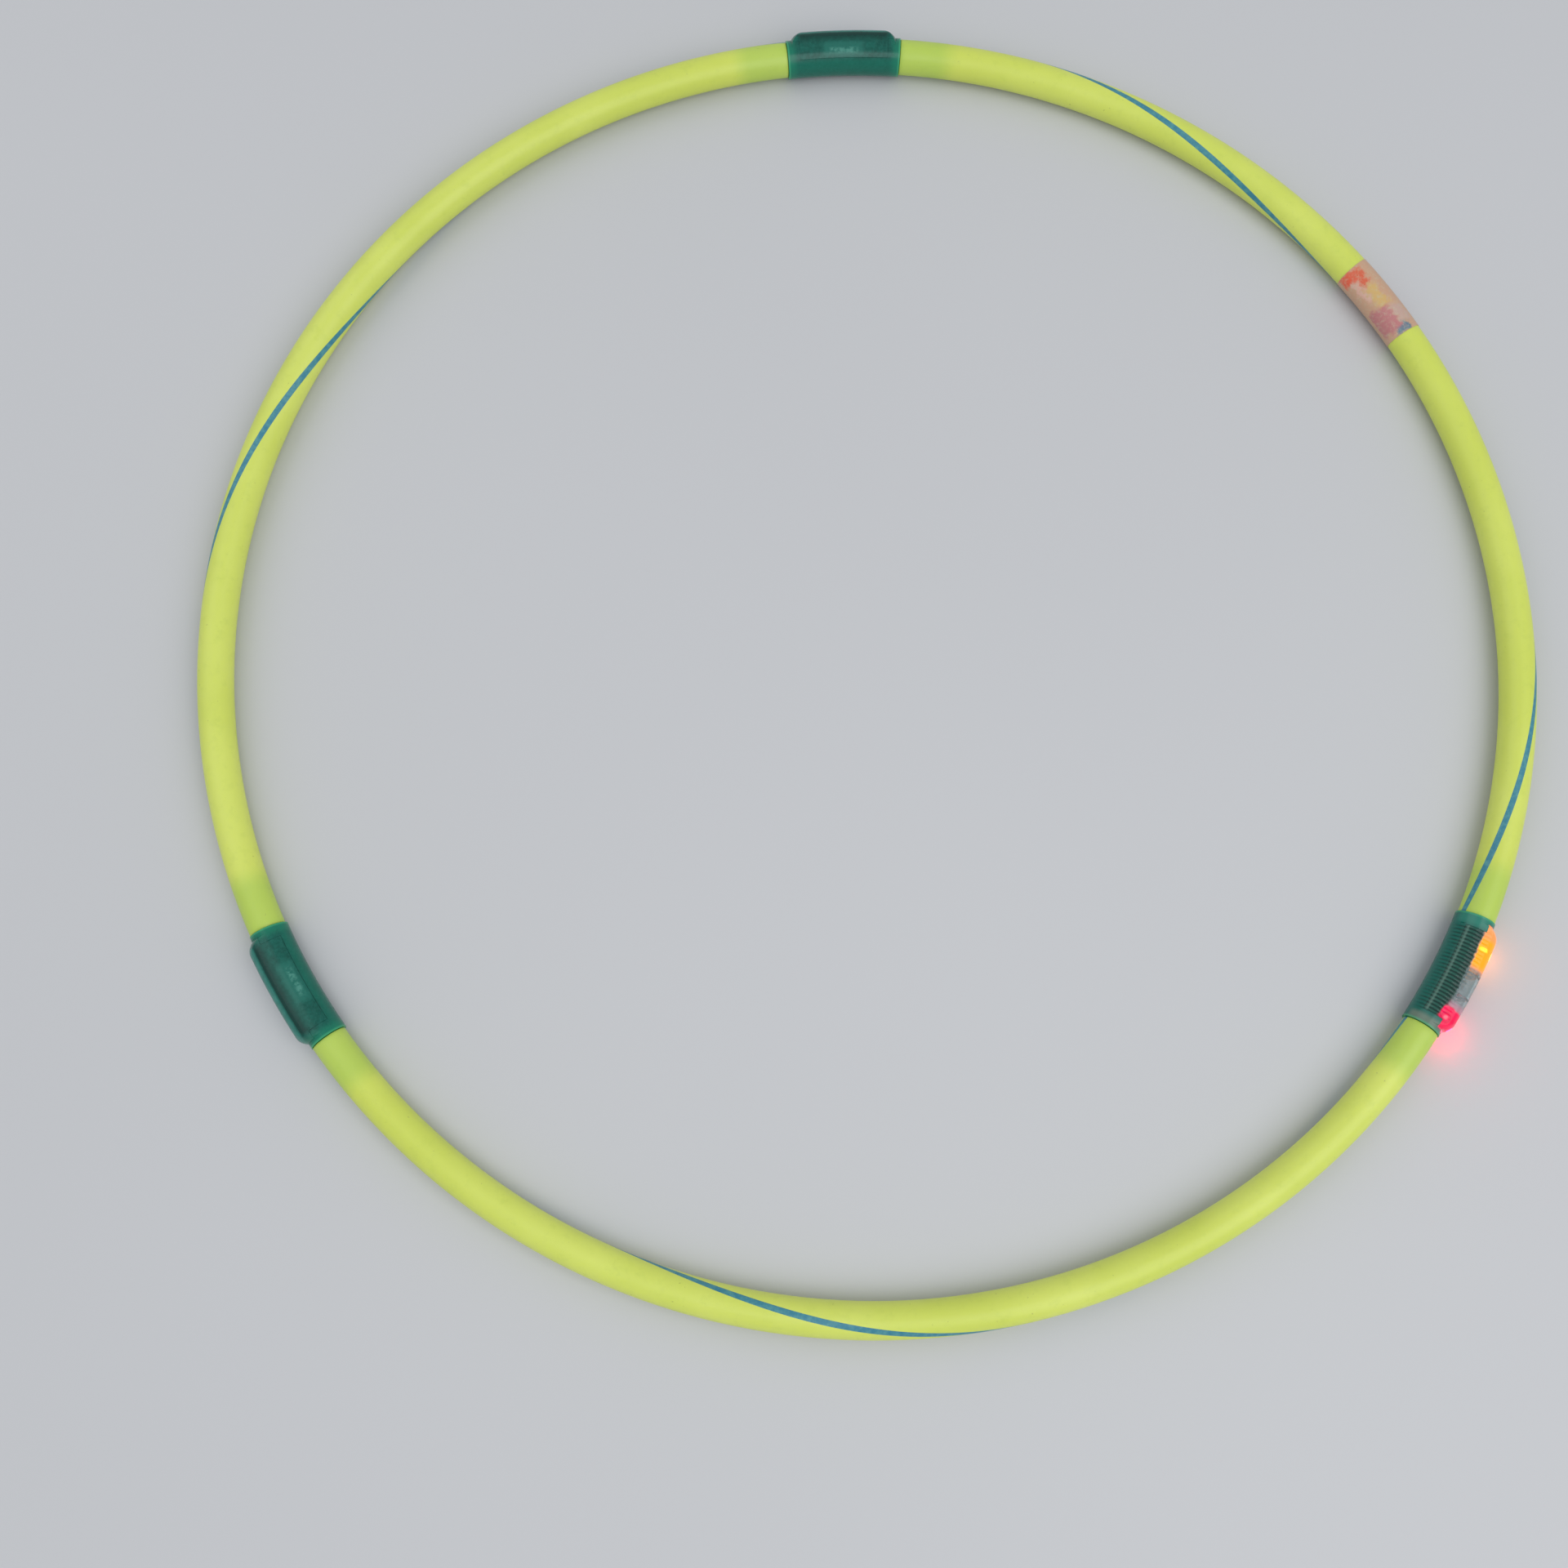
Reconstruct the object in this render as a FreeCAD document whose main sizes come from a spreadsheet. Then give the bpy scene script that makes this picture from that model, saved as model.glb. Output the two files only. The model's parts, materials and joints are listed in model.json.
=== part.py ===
"""Light-up sectional hoop: three bent tubes plugged onto three couplers, one of which is a light module.

The origin is the hoop's centre on the tubes' centre plane. +Z is up, and +Y points to the top coupler.
Each coupler is drawn where the hoop crosses +X and is then turned to its own angle, so in every sketch
x runs outwards from the hoop's axis, y runs along the hoop and z is up.
"""

import FreeCAD, Part
import math
import os
import Sketcher
from FreeCAD import Placement, Rotation, Vector

SIZES = {
    # the hoop and its tubes
    "hoop_radius": 297.0,
    "tube_radius": 8.0,
    "tube_wall": 1.2,
    "butt_gap": 0.2,
    "top_angle": 90.0,
    "left_angle": 209.8,
    "light_angle": 327.6,
    "label_angle": 32.5,
    "label_length": 40.0,
    "label_thick": 0.12,
    "label_gap": 0.01,
    # the couplers' outside
    "coupler_half": 27.5,
    "half_height": 9.2,
    "crown_shift": 0.4,
    "outer_reach": 10.6,
    "corner_radius": 6.0,
    "shoulder_radius": 7.0,
    "shoulder_start": 19.2,
    "shoulder_crest": 12.4,
    "collar_reach": 8.2,
    "spigot_radius": 6.7,
    "spigot_wall": 1.5,
    "spigot_length": 27.0,
    "spigot_lead": 1.2,
    # the split between a coupler's body and its cover
    "skin": 1.2,
    "fit_gap": 0.1,
    "skin_half": 21.5,
    "skin_edge": 5.5,
    "core_edge": 3.2,
    "cover_half": 25.4,
    "cover_end_wall": 3.8,
    "rib_inner": 6.8,
    "rib_outer": 9.8,
    "rib_half_height": 6.0,
    # the hollows inside the bodies
    "cavity_back": 6.3,
    "cavity_half_height": 5.0,
    "plain_cavity_half": 22.0,
    "switch_bay_start": 24.0,
    "switch_bay_end": 4.2,
    "cell_bay_start": 1.0,
    "cell_bay_end": 16.5,
    "cell_mouth_top": 4.0,
    "door_pocket_top": 0.5,
    "screw_hole_top": 1.5,
    # the circuit board and its lamps
    "board_back": 2.0,
    "board_thick": 0.8,
    "board_half_height": 6.9,
    "board_start": 22.8,
    "board_end": 21.0,
    "board_gap": 0.05,
    "lamp_pitch": 17.0,
    "lamp_middle": 2.0,
    "lamp_radius": 1.5,
    "lamp_length": 5.3,
    "flange_radius": 1.9,
    "flange_thick": 1.0,
    "lead_pitch": 2.54,
    "lead_radius": 0.25,
    "lead_gap": 0.05,
    "bulkhead_thick": 1.0,
    "bulkhead_low": 8.46,
    "bulkhead_high": 2.59,
    "bulkhead_inner": 3.4,
    "bulkhead_shoulder": 6.4,
    "bulkhead_outer": 9.6,
    "bulkhead_half_height": 8.2,
    "bulkhead_rim_height": 6.2,
    "chip_radius": 2.6,
    "chip_height": 1.0,
    "chip_place": 8.0,
    # the three cells in line and their contacts
    "cell_radius": 3.95,
    "cell_thick": 3.6,
    "cell_cap_radius": 3.2,
    "cell_cap_height": 0.3,
    "cell_pitch": 3.65,
    "cell_start": 5.05,
    "cell_centre": 2.2,
    "contact_thick": 0.3,
    "plate_back": 5.2,
    "plate_front": 0.8,
    "plate_half_height": 3.2,
    "plate_leg_half": 1.0,
    "leaf_height": 4.0,
    # the motion switch
    "switch_centre": 1.5,
    "switch_base_radius": 1.7,
    "switch_base_start": 22.5,
    "switch_base_length": 2.0,
    "switch_pin_radius": 0.4,
    "switch_pin_length": 8.3,
    "spring_radius": 1.6,
    "spring_wire": 0.3,
    "spring_length": 7.5,
    "spring_lift": 0.3,
    "switch_lead_radius": 0.2,
    "switch_lead_low": 0.5,
    "switch_lead_high": 1.5,
    "switch_lead_gap": 0.02,
    # the battery door and its screws
    "door_wall": 2.0,
    "door_gap": 0.15,
    "door_floor_gap": 0.3,
    "door_back": 6.2,
    "door_front": 1.8,
    "door_start": 3.8,
    "door_end": 21.8,
    "door_top": 2.0,
    "screw_low": 1.5,
    "screw_high": 19.3,
    "screw_radius": 0.95,
    "screw_length": 5.4,
    "screw_head_radius": 1.8,
    "screw_head_thick": 0.9,
    "screw_seat": 7.4,
    "screw_hole_radius": 1.03,
    "door_hole_radius": 1.15,
    "counterbore_radius": 1.95,
    "recess_length": 2.2,
    "recess_width": 0.5,
    "recess_depth": 0.5,
}

DEGREES = "180 / pi"
WIDE = "40"  # longer than any cut has to reach
CLEAR = 12.0  # beyond a coupler's outside, from the tube's centre line
BEYOND_SHOULDER = 3  # how far past a coupler's shoulder its rounding cut reaches

SCREW_PLACES = ("-[screw_low]", "[screw_high]")

# The leaf contact's outline, out from the tube's centre line and along the hoop.
LEAF_OUTLINE = [
    ("2", "1.1"),
    ("-5.6", "1.1"),
    ("-5.6", "1.6"),
    ("-2.2", "5"),
    ("-0.6", "3.9"),
    ("-0.8", "3.6"),
    ("-2.2", "4.58"),
    ("-5.1", "1.65"),
    ("-5.1", "1.4"),
    ("2", "1.4"),
]

doc = FreeCAD.newDocument("hoop")
sheet = doc.addObject("Spreadsheet::Sheet", "sizes")
for row, (alias, size) in enumerate(SIZES.items(), start=1):
    sheet.set(f"A{row}", str(size))
    sheet.setAlias(f"A{row}", alias)
doc.recompute()


def named(text):
    """Turns [size] in text into a reference to that cell."""
    return text.replace("[", "sizes.").replace("]", "")


def value(text):
    """The number that an expression gives."""
    return float(sheet.evalExpression(named(text)))


def radial(offset):
    """An expression for a distance out from the hoop's axis, given from the tube's centre line."""
    return f"[hoop_radius] + ({offset})"


# ---------------------------------------------------------------- sketches


def origin_feature(body, role):
    """The origin plane or axis of a body."""
    return next(item for item in body.Origin.OriginFeatures if item.Role == role)


def new_body(label):
    """An empty body with its label."""
    body = doc.addObject("PartDesign::Body", label)
    body.Label = label
    return body


def new_sketch(body, role, lift="0", turn="0"):
    """A sketch on one of the body's origin planes, moved along the plane's normal or turned about +Z."""
    sketch = body.newObject("Sketcher::SketchObject", f"{body.Name}_sketch")
    sketch.AttachmentSupport = [(origin_feature(body, role), "")]
    sketch.MapMode = "FlatFace"
    if lift != "0":
        sketch.setExpression("AttachmentOffset.Base.z", named(lift))
    if turn != "0":
        sketch.AttachmentOffset = Placement(Vector(), Rotation(Vector(0, 1, 0), value(turn)))
        sketch.setExpression("AttachmentOffset.Rotation.Angle", named(turn))
    return sketch


def drive(sketch, constraint, text):
    """Adds a sized constraint and binds it to the sheet."""
    index = sketch.addConstraint(constraint)
    sketch.setExpression(f"Constraints[{index}]", named(text))


def pin_point(sketch, edge, end, across, up):
    """Holds one end of an edge at a place given by two expressions."""
    drive(sketch, Sketcher.Constraint("DistanceX", -1, 1, edge, end, value(across)), across)
    if up == "0":
        sketch.addConstraint(Sketcher.Constraint("PointOnObject", edge, end, -1))
    else:
        drive(sketch, Sketcher.Constraint("DistanceY", -1, 1, edge, end, value(up)), up)


def draw_outline(sketch, corners):
    """A closed straight-sided outline through corners, each a pair of expressions."""
    points = [Vector(value(across), value(up), 0) for across, up in corners]
    edges = []
    for start, end in zip(points, points[1:] + points[:1]):
        edges.append(sketch.addGeometry(Part.LineSegment(start, end)))
    for edge, following in zip(edges, edges[1:] + edges[:1]):
        sketch.addConstraint(Sketcher.Constraint("Coincident", edge, 2, following, 1))
    for edge, (across, up) in zip(edges, corners):
        pin_point(sketch, edge, 1, across, up)


def draw_box(sketch, left, right, bottom, top):
    """A rectangle between four expressions."""
    draw_outline(sketch, [(left, bottom), (right, bottom), (right, top), (left, top)])


def draw_circle(sketch, across, up, radius):
    """A circle from expressions for its centre and radius."""
    centre = Vector(value(across), value(up), 0)
    edge = sketch.addGeometry(Part.Circle(centre, Vector(0, 0, 1), value(radius)))
    pin_point(sketch, edge, 3, across, up)
    drive(sketch, Sketcher.Constraint("Radius", edge, value(radius)), radius)


def draw_coupler_section(sketch, inset):
    """The coupler's section, inset from its outside: half round on its inner side, boxy on its outer one."""
    crown_x = value(radial("[crown_shift]"))
    crown_r = value(f"[half_height] - ({inset})")
    corner_x = value(radial("[outer_reach] - [corner_radius]"))
    corner_z = value("[half_height] - [corner_radius]")
    corner_r = value(f"[corner_radius] - ({inset})")
    wall_x = corner_x + corner_r
    up = Vector(0, 0, 1)

    def arc(centre, radius, start, end):
        circle = Part.Circle(Vector(*centre, 0), up, radius)
        return Part.ArcOfCircle(circle, math.radians(start), math.radians(end))

    outline = [
        arc((crown_x, 0), crown_r, 90, 270),
        Part.LineSegment(Vector(crown_x, -crown_r, 0), Vector(corner_x, -crown_r, 0)),
        arc((corner_x, -corner_z), corner_r, 270, 360),
        Part.LineSegment(Vector(wall_x, -corner_z, 0), Vector(wall_x, corner_z, 0)),
        arc((corner_x, corner_z), corner_r, 0, 90),
        Part.LineSegment(Vector(corner_x, crown_r, 0), Vector(crown_x, crown_r, 0)),
    ]
    edges = sketch.addGeometry(outline)
    crown, under, low, wall, high, over = edges
    for edge, following in zip(edges, edges[1:] + edges[:1]):
        sketch.addConstraint(Sketcher.Constraint("Tangent", edge, 2, following, 1))
    sketch.addConstraint(Sketcher.Constraint("Horizontal", under))
    sketch.addConstraint(Sketcher.Constraint("Horizontal", over))
    sketch.addConstraint(Sketcher.Constraint("Vertical", wall))
    sketch.addConstraint(Sketcher.Constraint("Equal", low, high))
    pin_point(sketch, crown, 3, radial("[crown_shift]"), "0")
    drive(sketch, Sketcher.Constraint("Radius", crown, crown_r), f"[half_height] - ({inset})")
    drive(sketch, Sketcher.Constraint("Radius", low, corner_r), f"[corner_radius] - ({inset})")
    outer = radial(f"[outer_reach] - ({inset})")
    drive(sketch, Sketcher.Constraint("DistanceX", -1, 1, wall, 1, wall_x), outer)


# ---------------------------------------------------------------- features


def revolve(body, sketch, half_length, cut=False):
    """Sweeps a section along the hoop, as far each way as half_length measured on the centre line."""
    kind = "PartDesign::Groove" if cut else "PartDesign::Revolution"
    feature = body.newObject(kind, f"{body.Name}_sweep")
    feature.Profile = sketch
    feature.ReferenceAxis = (origin_feature(body, "Z_Axis"), [""])
    feature.Midplane = True
    feature.setExpression("Angle", named(f"2 * ({half_length}) / [hoop_radius] * {DEGREES}"))
    return feature


def spin(body, sketch, role):
    """Turns a half outline into a round solid about one of the body's axes."""
    feature = body.newObject("PartDesign::Revolution", f"{body.Name}_spin")
    feature.Profile = sketch
    feature.ReferenceAxis = (origin_feature(body, role), [""])
    feature.Angle = 360
    return feature


def extrude(body, sketch, length, cut=False):
    """Pads or pockets a sketch, half the length to each side of its plane."""
    kind = "PartDesign::Pocket" if cut else "PartDesign::Pad"
    feature = body.newObject(kind, f"{body.Name}_extrusion")
    feature.Profile = sketch
    feature.SideType = "Symmetric"
    feature.setExpression("Length", named(length))
    return feature


def sweep_box(body, left, right, bottom, top, half_length, middle="0"):
    """Cuts a rectangular section away along the hoop, to both sides of a place on it."""
    turn = "0" if middle == "0" else f"({middle}) / [hoop_radius] * {DEGREES}"
    sketch = new_sketch(body, "XZ_Plane", turn=turn)
    draw_box(sketch, radial(left), radial(right), bottom, top)
    revolve(body, sketch, half_length, cut=True)


def cut_box(body, left, right, start, end, bottom, top):
    """Cuts a straight block away. start and end are along the hoop."""
    sketch = new_sketch(body, "XY_Plane", f"(({bottom}) + ({top})) / 2")
    draw_box(sketch, radial(left), radial(right), start, end)
    extrude(body, sketch, f"({top}) - ({bottom})", cut=True)


def cut_hole(body, across, along, radius, bottom, top):
    """Cuts an upright round hole between two heights."""
    sketch = new_sketch(body, "XY_Plane", f"(({bottom}) + ({top})) / 2")
    draw_circle(sketch, radial(across), along, radius)
    extrude(body, sketch, f"({top}) - ({bottom})", cut=True)


def round_shoulders(body):
    """Rounds the coupler's outer side down to a round collar at each end, nearly flush with the tube."""
    rise = "([shoulder_crest] - [shoulder_radius])"
    collar = f"([half_height] - {rise})"
    centre = radial(f"[collar_reach] - {collar}")
    turn = f"[shoulder_start] / [hoop_radius] * {DEGREES}"

    def place(side, out, along):
        """A point out and along from the shoulder's centre, in the coupler's own turned directions."""
        across = f"({centre} + ({out})) * cos({turn}) - ({along}) * sin({turn})"
        up = f"{side} * (({centre} + ({out})) * sin({turn}) + ({along}) * cos({turn}))"
        return across, up

    foot = f"sqrt([shoulder_radius] * [shoulder_radius] - {collar} * {collar})"
    beyond = f"[shoulder_radius] + {BEYOND_SHOULDER}"
    for side in (1, -1):
        sketch = new_sketch(body, "XY_Plane")
        axis = [place(side, f"-{rise}", "0"), place(side, f"-{rise}", beyond)]
        start, end = (Vector(value(across), value(up), 0) for across, up in axis)
        spindle = sketch.addGeometry(Part.LineSegment(start, end), True)
        for end, (across, up) in enumerate(axis, start=1):
            pin_point(sketch, spindle, end, across, up)

        corners = [
            place(side, collar, foot),
            place(side, collar, beyond),
            place(side, beyond, beyond),
            place(side, beyond, "0"),
            place(side, "[shoulder_radius]", "0"),
        ]
        points = [Vector(value(across), value(up), 0) for across, up in corners]
        edges = [
            sketch.addGeometry(Part.LineSegment(start, end))
            for start, end in zip(points, points[1:])
        ]
        for edge, following in zip(edges, edges[1:]):
            sketch.addConstraint(Sketcher.Constraint("Coincident", edge, 2, following, 1))
        for edge, (across, up) in zip(edges, corners):
            pin_point(sketch, edge, 1, across, up)
        pin_point(sketch, edges[-1], 2, *corners[-1])

        middle = Vector(*[value(part) for part in place(side, "0", "0")], 0)
        radius = value("[shoulder_radius]")
        ends = (points[-1], points[0])
        towards = [math.atan2(point.y - middle.y, point.x - middle.x) for point in ends]
        circle = Part.Circle(middle, Vector(0, 0, 1), radius)
        arc = sketch.addGeometry(Part.ArcOfCircle(circle, min(towards), max(towards)))
        first, last = (1, 2) if side == 1 else (2, 1)
        sketch.addConstraint(Sketcher.Constraint("Coincident", edges[-1], 2, arc, first))
        sketch.addConstraint(Sketcher.Constraint("Coincident", edges[0], 1, arc, last))
        drive(sketch, Sketcher.Constraint("Radius", arc, radius), "[shoulder_radius]")

        groove = body.newObject("PartDesign::Groove", f"{body.Name}_shoulder")
        groove.Profile = sketch
        groove.ReferenceAxis = (sketch, ["Axis0"])
        groove.Angle = 360


def place_at(part, angle, along="0"):
    """Turns a part from +X to its angle on the hoop, and moves it along the hoop there."""
    part.Placement = Placement(Vector(), Rotation(Vector(0, 0, 1), value(angle)))
    part.setExpression("Placement.Rotation.Angle", named(angle))
    if along != "0":
        part.setExpression("Placement.Base.x", named(f"-({along}) * sin({angle})"))
        part.setExpression("Placement.Base.y", named(f"({along}) * cos({angle})"))
    return part


# ---------------------------------------------------------------- the hoop


def make_tube(label, start_angle, end_angle):
    """One bent tube, from one coupler's end face to the next."""
    body = new_body(label)
    sketch = new_sketch(body, "XZ_Plane")
    draw_circle(sketch, radial("0"), "0", "[tube_radius]")
    draw_circle(sketch, radial("0"), "0", "[tube_radius] - [tube_wall]")
    half_way = f"(({end_angle}) - ({start_angle})) / 2 / ({DEGREES}) * [hoop_radius]"
    revolve(body, sketch, f"{half_way} - ([coupler_half] + [butt_gap])")
    return place_at(body, f"(({start_angle}) + ({end_angle})) / 2")


def make_label():
    """The printed label that is wrapped round the right tube."""
    body = new_body("tube_label")
    sketch = new_sketch(body, "XZ_Plane")
    inside = "[tube_radius] + [label_gap]"
    draw_circle(sketch, radial("0"), "0", f"{inside} + [label_thick]")
    draw_circle(sketch, radial("0"), "0", inside)
    revolve(body, sketch, "[label_length] / 2")
    return place_at(body, "[label_angle]")


def bevel_spigot_tips(body, spigots):
    """Bevels the outer edge of both spigot tips, so that a tube slides on."""
    doc.recompute()
    radius = value("[spigot_radius]")
    edges = [
        f"Edge{number}"
        for number, edge in enumerate(spigots.Shape.Edges, start=1)
        if isinstance(edge.Curve, Part.Circle)
        and abs(edge.Curve.Radius - radius) < 1e-6
        and abs(edge.CenterOfMass.y) > value("[coupler_half]")
    ]
    bevel = body.newObject("PartDesign::Chamfer", f"{body.Name}_bevel")
    bevel.Base = (spigots, edges)
    bevel.setExpression("Size", named("[spigot_lead]"))


def start_coupler(label):
    """A coupler's body before it is hollowed: two spigots, a solid middle and the seat for its cover."""
    body = new_body(label)
    sketch = new_sketch(body, "XZ_Plane")
    draw_circle(sketch, radial("0"), "0", "[spigot_radius]")
    draw_circle(sketch, radial("0"), "0", "[spigot_radius] - [spigot_wall]")
    spigots = revolve(body, sketch, "[coupler_half] + [spigot_length]")
    bevel_spigot_tips(body, spigots)

    middle = new_sketch(body, "XZ_Plane")
    draw_coupler_section(middle, "0")
    revolve(body, middle, "[coupler_half]")

    sweep_box(body, "-[skin_edge] - [fit_gap]", str(CLEAR), "0", str(CLEAR), "[skin_half] + [fit_gap]")
    core = new_sketch(body, "XZ_Plane")
    draw_coupler_section(core, "[skin] + [fit_gap]")
    revolve(body, core, "[skin_half] + 2 * [fit_gap]")

    seat = "[cover_half] + [fit_gap]"
    sweep_box(body, "[core_edge]", str(CLEAR), str(-CLEAR), str(CLEAR), seat)
    round_shoulders(body)
    return body


def make_plain_coupler(label, angle):
    """A coupler's body with one empty hollow, open towards its cover."""
    body = start_coupler(label)
    half = "[plain_cavity_half]"
    height = "[cavity_half_height]"
    cut_box(body, "-[cavity_back]", "[core_edge] + 1", f"-{half}", half, f"-{height}", height)
    return place_at(body, angle)


def make_light_coupler():
    """The light module's body: bays for the motion switch and the cells, and a seat for the door."""
    body = start_coupler("coupler_body_light")
    gap = "[door_gap]"
    back = f"-[door_back] - {gap}"
    front = f"[door_front] + {gap}"
    near = f"-[door_start] - {gap}"
    far = f"[door_end] + {gap}"
    cut_box(body, back, front, near, far, str(-CLEAR), "-[door_pocket_top]")
    floor = new_sketch(body, "XZ_Plane")
    draw_coupler_section(floor, "[door_wall] + [door_floor_gap]")
    revolve(body, floor, "[coupler_half] - 2")

    height = "[cavity_half_height]"
    board_side = "[board_back] + [board_gap]"
    bays = (("-[switch_bay_start]", "-[switch_bay_end]"), ("[cell_bay_start]", "[cell_bay_end]"))
    for start, end in bays:
        cut_box(body, "-[cavity_back]", board_side, start, end, f"-{height}", height)
    cut_box(body, back, front, start, end, str(-CLEAR), "-[cell_mouth_top]")
    sweep_box(body, "[core_edge]", str(CLEAR), str(-CLEAR), str(CLEAR), "[cover_half] + [fit_gap]")

    rebate = "[board_half_height] + [fit_gap]"
    near = "-[board_start] - [fit_gap]"
    far = "[board_end] + [fit_gap]"
    cut_box(body, "[board_back]", "[core_edge] + 2", near, far, f"-({rebate})", rebate)
    for along in SCREW_PLACES:
        cut_hole(body, "-[cell_centre]", along, "[screw_hole_radius]", str(-CLEAR), "-[screw_hole_top]")
    return place_at(body, "[light_angle]")


def start_cover(label):
    """A cover's thin shell: a bulge over the coupler's outside, and a skin over the top of the body."""
    body = new_body(label)
    outside = new_sketch(body, "XZ_Plane")
    draw_coupler_section(outside, "0")
    revolve(body, outside, "[cover_half]")
    inside = new_sketch(body, "XZ_Plane")
    draw_coupler_section(inside, "[skin]")
    revolve(body, inside, "[cover_half] - [cover_end_wall]", cut=True)
    return body


def trim_cover(body):
    """Cuts a cover back to the seat that its body leaves for it."""
    edge = "[core_edge] + [fit_gap]"
    sweep_box(body, str(-CLEAR), "-[skin_edge]", str(-CLEAR), str(CLEAR), "[coupler_half]")
    sweep_box(body, str(-CLEAR), edge, str(-CLEAR), "0", "[coupler_half]")
    beyond = "([coupler_half] - [skin_half]) / 2"
    for side in (1, -1):
        middle = f"{side} * ([skin_half] + {beyond})"
        sweep_box(body, str(-CLEAR), edge, str(-CLEAR), str(CLEAR), beyond, middle)
    round_shoulders(body)


def make_plain_cover(label, angle):
    """The closed coupler's cover, which has a thick rib behind its outer wall."""
    body = start_cover(label)
    rib = new_sketch(body, "XZ_Plane")
    height = "[rib_half_height]"
    draw_box(rib, radial("[rib_inner]"), radial("[rib_outer]"), f"-{height}", height)
    revolve(body, rib, "[cover_half] - [cover_end_wall] / 2")
    trim_cover(body)
    return place_at(body, angle)


def make_lens():
    """The light module's clear cover: a bulkhead to each side of the middle lamp, and room for the board."""
    body = start_cover("light_lens")
    high = [
        (radial("[bulkhead_outer]"), "[bulkhead_rim_height]"),
        (radial("[bulkhead_shoulder]"), "[bulkhead_half_height]"),
        (radial("[bulkhead_inner]"), "[bulkhead_half_height]"),
    ]
    low = [(across, f"-{up}") for across, up in reversed(high)]
    for along in ("-[bulkhead_low]", "[bulkhead_high]"):
        wall = new_sketch(body, "XZ_Plane", f"-({along})")
        draw_outline(wall, low + high)
        extrude(body, wall, "[bulkhead_thick]")
    front = "[board_back] + [board_thick] + [fit_gap]"
    near = "-[board_start] - [fit_gap]"
    far = "[board_end] + [fit_gap]"
    rebate = "[board_half_height] + [fit_gap]"
    cut_box(body, "[board_back]", front, near, far, f"-({rebate})", rebate)
    trim_cover(body)
    return place_at(body, "[light_angle]")


# ---------------------------------------------------------------- the light module's inside


def lamp_place(step):
    """Where a lamp sits along the hoop, counted from the middle lamp."""
    return f"{step} * [lamp_pitch] - [lamp_middle]"


def make_board():
    """The circuit board that closes the body's bays, with a pair of holes for each lamp's leads."""
    body = new_body("circuit_board")
    sketch = new_sketch(body, "YZ_Plane", radial("[board_back] + [board_thick] / 2"))
    height = "[board_half_height]"
    draw_box(sketch, "-[board_start]", "[board_end]", f"-{height}", height)
    for step in (-1, 0, 1):
        for side in (-1, 1):
            hole = f"{lamp_place(step)} + {side} * [lead_pitch] / 2"
            draw_circle(sketch, hole, "0", "[lead_radius] + [lead_gap]")
    extrude(body, sketch, "[board_thick]")
    return place_at(body, "[light_angle]")


def make_lamp(label, step):
    """One 3 mm lamp, lying on its side with its dome outwards."""
    body = new_body(label)
    sketch = new_sketch(body, "XY_Plane")
    foot = radial("[board_back] + [board_thick]")
    neck = f"{foot} + [flange_thick]"
    shoulder = f"{foot} + [lamp_length] - [lamp_radius]"
    tip = f"{foot} + [lamp_length]"
    corners = [
        (tip, "0"),
        (foot, "0"),
        (foot, "[flange_radius]"),
        (neck, "[flange_radius]"),
        (neck, "[lamp_radius]"),
        (shoulder, "[lamp_radius]"),
    ]
    points = [Vector(value(across), value(up), 0) for across, up in corners]
    edges = [
        sketch.addGeometry(Part.LineSegment(start, end))
        for start, end in zip(points, points[1:])
    ]
    for edge, following in zip(edges, edges[1:]):
        sketch.addConstraint(Sketcher.Constraint("Coincident", edge, 2, following, 1))
    for edge, (across, up) in zip(edges, corners):
        pin_point(sketch, edge, 1, across, up)
    pin_point(sketch, edges[-1], 2, *corners[-1])
    centre = Vector(value(shoulder), 0, 0)
    circle = Part.Circle(centre, Vector(0, 0, 1), value("[lamp_radius]"))
    arc = sketch.addGeometry(Part.ArcOfCircle(circle, 0, math.pi / 2))
    sketch.addConstraint(Sketcher.Constraint("Coincident", edges[0], 1, arc, 1))
    sketch.addConstraint(Sketcher.Constraint("Coincident", edges[-1], 2, arc, 2))
    drive(sketch, Sketcher.Constraint("Radius", arc, value("[lamp_radius]")), "[lamp_radius]")
    spin(body, sketch, "X_Axis")
    return place_at(body, "[light_angle]", lamp_place(step))


def rod(name, radius, length, centre, direction):
    """A round rod. centre gives x, y and z of its start in the coupler's own directions."""
    part = doc.addObject("Part::Cylinder", name)
    part.setExpression("Radius", named(radius))
    part.setExpression("Height", named(length))
    across, along, up = centre
    part.Placement = Placement(Vector(), Rotation(Vector(0, 0, 1), direction))
    for letter, text in zip("xyz", (across, along, up)):
        part.setExpression(f"Placement.Base.{letter}", named(text))
    return part


def gather(label, pieces, angle):
    """Several separate solids as one sub-part."""
    group = doc.addObject("Part::Compound", label)
    group.Label = label
    group.Links = pieces
    return place_at(group, angle)


def make_lamp_leads():
    """The lamps' six wire leads, from the front of the board to its back, where they are cut flush."""
    leads = []
    for step in (-1, 0, 1):
        for side in (-1, 1):
            along = f"{lamp_place(step)} + {side} * [lead_pitch] / 2"
            start = (radial("[board_back]"), along, "0")
            lead = rod("lamp_lead", "[lead_radius]", "[board_thick]", start, Vector(1, 0, 0))
            leads.append(lead)
    return gather("led_leads", leads, "[light_angle]")


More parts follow.
